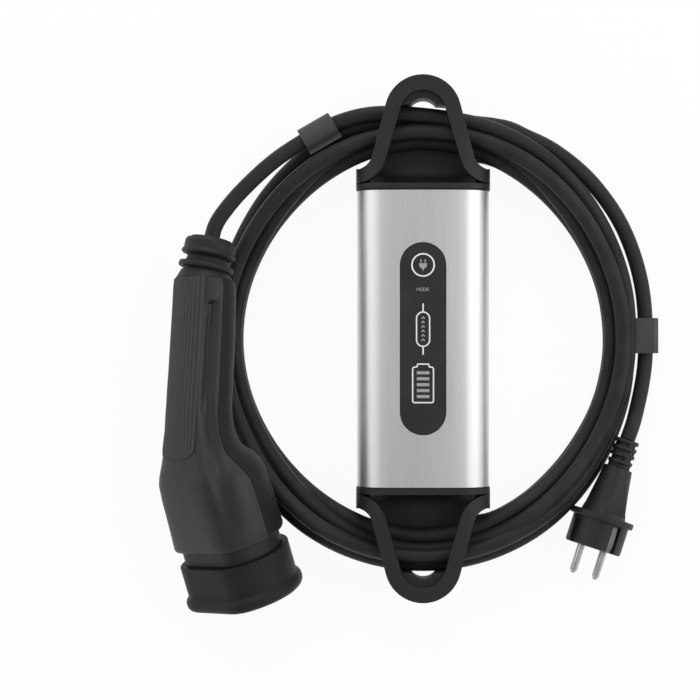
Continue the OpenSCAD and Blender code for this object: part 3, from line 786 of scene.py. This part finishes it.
class CHARGER_OT_stage(Operator):
    """Lay a pale floor, light it softly and look straight down."""

    bl_idname = "charger.stage"
    bl_label = "Stage"

    def execute(self, context):
        look = context.scene.charger_stage
        self.floor(look.floor)
        self.world()
        self.softbox("left_light", LEFT_LIGHT_AT, look.side_light * LEFT_LIGHT_SHARE)
        self.softbox("right_light", RIGHT_LIGHT_AT, look.side_light)
        self.softbox("top_light", TOP_LIGHT_AT, look.top_light)
        camera = bpy.data.objects.new("camera", bpy.data.cameras.new("camera"))
        context.scene.collection.objects.link(camera)
        camera.location = (0, 0, look.height)
        camera.data.lens = look.lens
        camera.data.sensor_width = SENSOR_WIDTH
        camera.data.shift_x = look.shift_x
        camera.data.shift_y = look.shift_y
        camera.data.clip_end = VIEW_DEPTH
        context.scene.camera = camera
        context.scene.view_settings.view_transform = "Standard"
        return {"FINISHED"}

    def floor(self, colour):
        """A pale floor that looks white to the camera but keeps the shadow."""
        mesh = bpy.data.meshes.new("floor")
        corners = [(x * FLOOR_REACH, y * FLOOR_REACH, 0) for x, y in ((-1, -1), (1, -1), (1, 1), (-1, 1))]
        mesh.from_pydata(corners, [], [(0, 1, 2, 3)])
        floor = bpy.data.objects.new("floor", mesh)
        bpy.context.scene.collection.objects.link(floor)
        floor.location.z = -FLOOR_DROP
        made = Finish("floor_paper")
        made.tone(colour, spread=0.01, value=made.noise(scale=30.0))
        made.set(Roughness=0.8)
        glow = made.node("ShaderNodeEmission", Color=(1, 1, 1, 1), Strength=1.0)
        path = made.node("ShaderNodeLightPath")
        seen = path.outputs["Is Camera Ray"]
        for ray in ("Is Glossy Ray", "Is Transmission Ray"):
            both = made.node("ShaderNodeMath")
            both.operation = "MAXIMUM"
            made.link(seen, both.inputs[0])
            made.link(path.outputs[ray], both.inputs[1])
            seen = both.outputs[0]
        share = made.node("ShaderNodeMath")
        share.operation = "MULTIPLY"
        share.inputs[1].default_value = FLOOR_GLOW
        made.link(seen, share.inputs[0])
        mix = made.node("ShaderNodeMixShader")
        made.link(share.outputs[0], mix.inputs[0])
        made.link(made.shader.outputs[0], mix.inputs[1])
        made.link(glow.outputs[0], mix.inputs[2])
        made.link(mix.outputs[0], made.tree.nodes["Material Output"].inputs["Surface"])
        floor.data.materials.append(made.material)

    def world(self):
        """A sky that is bright at the horizon and darker overhead."""
        world = bpy.data.worlds.new("studio")
        world.use_nodes = True
        bpy.context.scene.world = world
        nodes, links = world.node_tree.nodes, world.node_tree.links
        place = nodes.new("ShaderNodeTexCoord")
        split = nodes.new("ShaderNodeSeparateXYZ")
        ramp = nodes.new("ShaderNodeValToRGB")
        for stop, (height, colour) in zip(ramp.color_ramp.elements, SKY):
            stop.position = height
            stop.color = colour
        links.new(place.outputs["Generated"], split.inputs[0])
        links.new(split.outputs["Z"], ramp.inputs["Fac"])
        links.new(ramp.outputs["Color"], nodes["Background"].inputs["Color"])

    def softbox(self, name, place, power):
        """A broad soft light that faces the middle of the floor."""
        light = bpy.data.lights.new(name, "AREA")
        light.shape = "RECTANGLE"
        light.size, light.size_y = LIGHT_SIZE
        light.energy = power
        lamp = bpy.data.objects.new(name, light)
        bpy.context.scene.collection.objects.link(lamp)
        lamp.location = place
        lamp.rotation_euler = Vector(place).to_track_quat("Z", "Y").to_euler()


class CHARGER_PT_sidebar(Panel):
    """Lists the steps that dress the charger."""

    bl_idname = "CHARGER_PT_sidebar"
    bl_label = "Car charger"
    bl_space_type = "VIEW_3D"
    bl_region_type = "UI"
    bl_category = "Charger"

    def draw(self, context):
        for step in STEPS:
            self.layout.operator(step.bl_idname)
        for group in ("charger_finish", "charger_lead", "charger_stage"):
            values = getattr(context.scene, group)
            for name in values.__annotations__:
                self.layout.prop(values, name)


GROUPS = {"charger_finish": ChargerFinish, "charger_lead": ChargerLead, "charger_stage": ChargerStage}
STEPS = (CHARGER_OT_box, CHARGER_OT_panel, CHARGER_OT_inside, CHARGER_OT_connector, CHARGER_OT_plug,
         CHARGER_OT_clips, CHARGER_OT_leads, CHARGER_OT_stage)


def register():
    for cls in (*GROUPS.values(), *STEPS, CHARGER_PT_sidebar):
        bpy.utils.register_class(cls)
    for name, group in GROUPS.items():
        setattr(bpy.types.Scene, name, PointerProperty(type=group))


def unregister():
    for name in GROUPS:
        delattr(bpy.types.Scene, name)
    for cls in reversed((*GROUPS.values(), *STEPS, CHARGER_PT_sidebar)):
        bpy.utils.unregister_class(cls)


def main():
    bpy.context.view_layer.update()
    register()
    bpy.ops.charger.box()
    bpy.ops.charger.panel()
    bpy.ops.charger.inside()
    bpy.ops.charger.connector()
    bpy.ops.charger.plug()
    bpy.ops.charger.clips()
    bpy.ops.charger.leads()
    bpy.ops.charger.stage()
    bpy.context.view_layer.update()


if __name__ == "__main__":
    main()
